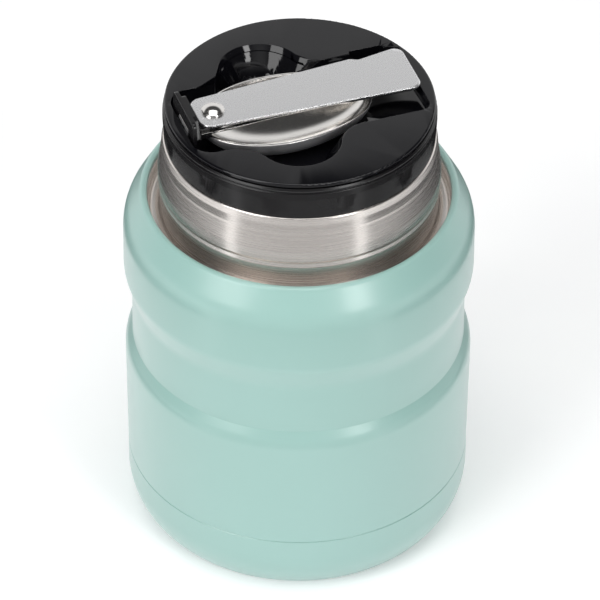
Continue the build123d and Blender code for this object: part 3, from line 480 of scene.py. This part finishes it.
def base():
    """The painted cup below the seam: rounded corner, standing ring and dimpled underside."""
    corner_r = seam_r - CORNER_R
    foot_out_r = corner_r + sqrt(CORNER_R**2 - (CORNER_Z - WALL) ** 2) - FOOT_IN
    foot_in_r = foot_out_r - FOOT_WIDTH
    recess_r = foot_in_r - FOOT_SLOPE
    half = WALL / 2

    def corner(radius, steps=24):
        last = sqrt(1 - ((CORNER_Z - WALL) / CORNER_R) ** 2)
        sweep = pi / 2 - Vector((0, 1)).angle(Vector((last, (CORNER_Z - WALL) / CORNER_R)))
        turns = [sweep * k / steps for k in range(steps + 1)]
        return [(corner_r + radius * cos(a), CORNER_Z - radius * sin(a)) for a in turns]

    outside = [(seam_r - SEAM_BEVEL, seam_z, 0), (seam_r, seam_z - SEAM_BEVEL, 0)]
    outside += [(r, z, 0) for r, z in corner(CORNER_R)]
    outside += [
        (foot_out_r, 0, FOOT_BLEND),
        (foot_in_r, 0, FOOT_BLEND),
        (recess_r, FOOT_HEIGHT, half),
        (PORT_R + PORT_SLOPE, FOOT_HEIGHT, PORT_BLEND),
        (PORT_R, FOOT_HEIGHT + PORT_DEPTH, PORT_INNER_BLEND),
        (SEAL_R, FOOT_HEIGHT + PORT_DEPTH, 0),
    ]
    inside = [
        (SEAL_R, FOOT_HEIGHT + PORT_DEPTH + WALL, 0),
        (PORT_R + half, FOOT_HEIGHT + PORT_DEPTH + WALL, PORT_BLEND),
        (PORT_R + PORT_SLOPE + half, FOOT_HEIGHT + WALL, PORT_INNER_BLEND),
        (recess_r + half, FOOT_HEIGHT + WALL, 0.9),
        (foot_in_r + half, WALL, 0.4),
        (foot_out_r - half, WALL, 0.4),
    ]
    inside += [(r, z, 0) for r, z in reversed(corner(CORNER_R - WALL))]
    inside += [(seam_r - WALL, seam_z, 0)]
    lathe("base", "base_cup", rounded(outside + inside))


def rivet():
    """The domed rivet that holds the handle, with its shank and spread foot."""
    centre = at(rivet_along, 0, 0) / MM
    dome_z = highest("handle_rivet").z
    rise = dome_z - plate_top_z - RIVET_RIM
    dome_r = (RIVET_HEAD_R**2 + rise**2) / (2 * rise)
    dome = []
    for k in range(RIVET_STEPS + 1):
        r = RIVET_HEAD_R * k / RIVET_STEPS
        dome.append((r, dome_z - dome_r + sqrt(dome_r**2 - r**2), 0))
    under = [
        (RIVET_HEAD_R, plate_top_z, 0),
        (RIVET_R, plate_top_z, 0),
        (RIVET_R, block_bottom_z + RIVET_FOOT, 0),
        (RIVET_FOOT_R, block_bottom_z + RIVET_FOOT, 0),
        (RIVET_FOOT_R, block_bottom_z, 0),
        (0, block_bottom_z, 0),
    ]
    dome[-1] = (*dome[-1][:2], RIVET_EDGE)
    lathe("rivet", "handle_rivet", rounded(dome + under, turn=10), axis=centre[:2], steps=96)


def softened(name, node, width, picked=None, fold=40.0):
    """The CAD node's own shape, its edges rounded a little as moulding or stamping leaves them.

    Faces of more than four corners are cut up first, because rounding would bend them.
    """
    mesh = bmesh.new()
    mesh.from_mesh(frame["nodes"][node].data)
    bmesh.ops.remove_doubles(mesh, verts=mesh.verts, dist=SAME_POINT * MM)
    bmesh.ops.dissolve_limit(mesh, angle_limit=FLAT, verts=mesh.verts, edges=mesh.edges)
    bmesh.ops.triangulate(mesh, faces=[f for f in mesh.faces if len(f.verts) > 4])
    edges = [e for e in mesh.edges if e.is_manifold and e.calc_face_angle() > radians(fold)]
    if picked:
        edges = [e for e in edges if all(picked(v.co / MM) for v in e.verts)]
    bmesh.ops.bevel(
        mesh,
        geom=edges,
        offset=width * MM,
        offset_type="OFFSET",
        segments=3,
        profile=0.5,
        affect="EDGES",
        clamp_overlap=False,
    )
    low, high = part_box(node)
    for vert in mesh.verts:
        vert.co = [min(max(place, start), end) for place, start, end in zip(vert.co, low, high)]
    obj = piece(name, mesh, node)
    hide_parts(node)
    return obj


def level_with(z):
    """Picks the points that lie at one height."""
    return lambda point: abs(point.z - z) < SAME_LEVEL


def satin_outside(bowl, centre):
    """The bowl is polished inside and left satin outside."""
    bowl.data.materials.append(MATERIALS["steel_outside"])
    for face in bowl.data.polygons:
        away = Vector((face.center.x - centre.x, face.center.y - centre.y, 0))
        if face.normal.z < -0.05 or (face.normal.z < 0.3 and face.normal.dot(away) > 0):
            face.material_index = 1


outer_wall()
bare_neck()
base()
rivet()
softened("panel", "stopper_tray", PANEL_EDGE, picked=level_with(panel_top_z))
softened("skirt", "stopper_body", SKIRT_EDGE, picked=lambda p: p.z > lip_z + SKIRT_ABOVE_LIP)
bowl = softened("bowl", "spoon_bowl", BOWL_EDGE, picked=level_with(rim_z))
satin_outside(bowl, at(bowl_along, 0, 0))
softened("hinge", "hinge_block", HINGE_EDGE)
softened("handle", "handle_plate", HANDLE_EDGE)
softened("leaf", "handle_spring", LEAF_EDGE)


# ------------------------------------------------------------------ studio
GLOW = 0.2                       # what the floor adds to its own light for eye and mirrors
FLOOR_HALF = 4.0
CARD_LIFT = 0.0005
CARD_BLACK = (14, 14, 15)
CARD_GREY = (176, 175, 175)
AIM = (0, 0, 0.1)                # lamps look at this place

# Directions, as parts of a unit vector, over which one reflected part of the room fades to the next
WALL_TOP = (0.57, 0.69)          # up: from the back wall to the dark above it
LOW_FRONT = (-0.97, -0.75)       # toward the camera: from grey to dark
TO_BACK = (0.1, 0.5)             # backward: from the room to the wall


def paper():
    """White floor: it keeps the shadow and glows a little where the eye or a mirror sees it."""
    m = Material("floor_paper", Roughness=0.9)
    m.to("Base Color", m.mix(m.spread(m.noise(30), 0, 1), rgb(246, 246, 247), rgb(249, 249, 249)))
    m.shader.inputs["Emission Color"].default_value = (1, 1, 1, 1)
    path = m.node("ShaderNodeLightPath").outputs
    seen = m.node("ShaderNodeMath", operation="ADD", use_clamp=True)
    m.join(path["Is Camera Ray"], seen.inputs[0])
    m.join(path["Is Glossy Ray"], seen.inputs[1])
    glow = m.node("ShaderNodeMath", operation="MULTIPLY")
    m.join(seen.outputs[0], glow.inputs[0])
    glow.inputs[1].default_value = GLOW
    m.to("Emission Strength", glow.outputs[0])
    return m.mat


def sheet(name, points, faces, material):
    mesh = bpy.data.meshes.new(name)
    mesh.from_pydata(points, [], faces)
    mesh.materials.append(material)
    obj = bpy.data.objects.new(name, mesh)
    bpy.context.collection.objects.link(obj)
    return obj


def floor():
    half = FLOOR_HALF
    corners = [(-half, -half, 0), (half, -half, 0), (half, half, 0), (-half, half, 0)]
    sheet("floor", corners, [(0, 1, 2, 3)], paper())


def floor_card(name, azimuths, radii, tone, steps=16):
    """A sector of card lying on the floor, which only shows in reflections.

    Azimuth 0 is the side that faces the camera.
    """
    points = []
    for k in range(steps + 1):
        a = radians(azimuths[0] + (azimuths[1] - azimuths[0]) * k / steps)
        points += [(r * sin(a), -r * cos(a), CARD_LIFT) for r in radii]
    faces = [(2 * k, 2 * k + 1, 2 * k + 3, 2 * k + 2) for k in range(steps)]
    card = sheet(name, points, faces, Material(name, Base_Color=rgb(*tone), Roughness=1.0).mat)
    card.visible_camera = False
    card.visible_diffuse = False
    card.visible_shadow = False


def softbox(name, azimuth, elevation, distance, size, watts):
    """A rectangular lamp aimed at the jar; azimuth 0 is the side that faces the camera."""
    a, e = radians(azimuth), radians(elevation)
    where = Vector((sin(a) * cos(e), -cos(a) * cos(e), sin(e))) * distance
    data = bpy.data.lights.new(name, "AREA")
    data.shape = "RECTANGLE"
    data.size, data.size_y = size
    data.energy = watts
    lamp = bpy.data.objects.new(name, data)
    lamp.location = where
    lamp.rotation_euler = (Vector(AIM) - where).to_track_quat("-Z", "Y").to_euler()
    bpy.context.collection.objects.link(lamp)


def world(diffuse, back_level, front_level, dark):
    """White for the eye; in mirrors a white wall behind, grey low in front, dark elsewhere."""
    made = bpy.data.worlds.new("studio")
    bpy.context.scene.world = made
    made.use_nodes = True
    tree = made.node_tree
    tree.nodes.clear()

    def node(kind, **settings):
        new = tree.nodes.new(kind)
        for key, value in settings.items():
            setattr(new, key, value)
        return new

    def choose(factor, low_value, high_value):
        """A number that goes from one value to another, either of which may be a socket."""
        new = node("ShaderNodeMix", data_type="FLOAT")
        tree.links.new(factor, new.inputs[0])
        for socket, value in ((new.inputs[2], low_value), (new.inputs[3], high_value)):
            if isinstance(value, float):
                socket.default_value = value
            else:
                tree.links.new(value, socket)
        return new.outputs[0]

    def ramp(value, start, end):
        new = node("ShaderNodeMapRange", interpolation_type="SMOOTHSTEP")
        new.inputs["From Min"].default_value = start
        new.inputs["From Max"].default_value = end
        tree.links.new(value, new.inputs["Value"])
        return new.outputs["Result"]

    path = node("ShaderNodeLightPath").outputs
    reflected = node("ShaderNodeMath", operation="MAXIMUM")
    tree.links.new(path["Is Glossy Ray"], reflected.inputs[0])
    tree.links.new(path["Is Transmission Ray"], reflected.inputs[1])
    split = node("ShaderNodeSeparateXYZ")
    tree.links.new(node("ShaderNodeTexCoord").outputs["Generated"], split.inputs[0])
    wall = choose(ramp(split.outputs["Z"], *WALL_TOP), back_level, dark)
    room = choose(ramp(split.outputs["Y"], *LOW_FRONT), front_level, dark)
    mirrored = choose(ramp(split.outputs["Y"], *TO_BACK), room, wall)
    level = choose(path["Is Camera Ray"], choose(reflected.outputs[0], diffuse, mirrored), 1.0)
    back = node("ShaderNodeBackground")
    back.inputs["Color"].default_value = (1, 1, 1, 1)
    tree.links.new(level, back.inputs["Strength"])
    tree.links.new(back.outputs[0], node("ShaderNodeOutputWorld").inputs["Surface"])


floor()
floor_card("card_left", (-160, -55), (0.155, 0.3), CARD_BLACK)
floor_card("card_right", (50, 160), (0.155, 0.3), CARD_BLACK)
floor_card("card_front", (-46, 41), (0.14, 0.7), CARD_GREY)
softbox("box_left", -45, 35, 1.2, (0.6, 0.9), 6.0)
softbox("box_right", 37, 26, 1.2, (0.28, 0.6), 3.6)
softbox("box_top", 0, 84, 1.3, (1.0, 0.85), 6.0)
world(diffuse=0.4, back_level=0.95, front_level=0.6, dark=0.06)

# ------------------------------------------------------------------ camera
ELEVATION = radians(39.98)
DISTANCE = 1.6
TARGET = Vector((0, 0, 0.065))
ROLL = radians(0.453)
SENSOR = 36
LENS = 355.57
SHIFT = 0.00265
CLIP_END = 20
camera_data = bpy.data.cameras.new("camera")
camera_data.sensor_width = SENSOR
camera_data.lens = LENS
camera_data.shift_x = SHIFT
camera_data.clip_end = CLIP_END
camera = bpy.data.objects.new("camera", camera_data)
bpy.context.collection.objects.link(camera)
away = Vector((0, -cos(ELEVATION), sin(ELEVATION)))
camera.matrix_world = (
    Matrix.Translation(TARGET + away * DISTANCE)
    @ Matrix.Rotation(pi / 2 - ELEVATION, 4, "X")
    @ Matrix.Rotation(ROLL, 4, "Z")
)
bpy.context.scene.camera = camera
bpy.context.scene.view_settings.view_transform = "Standard"
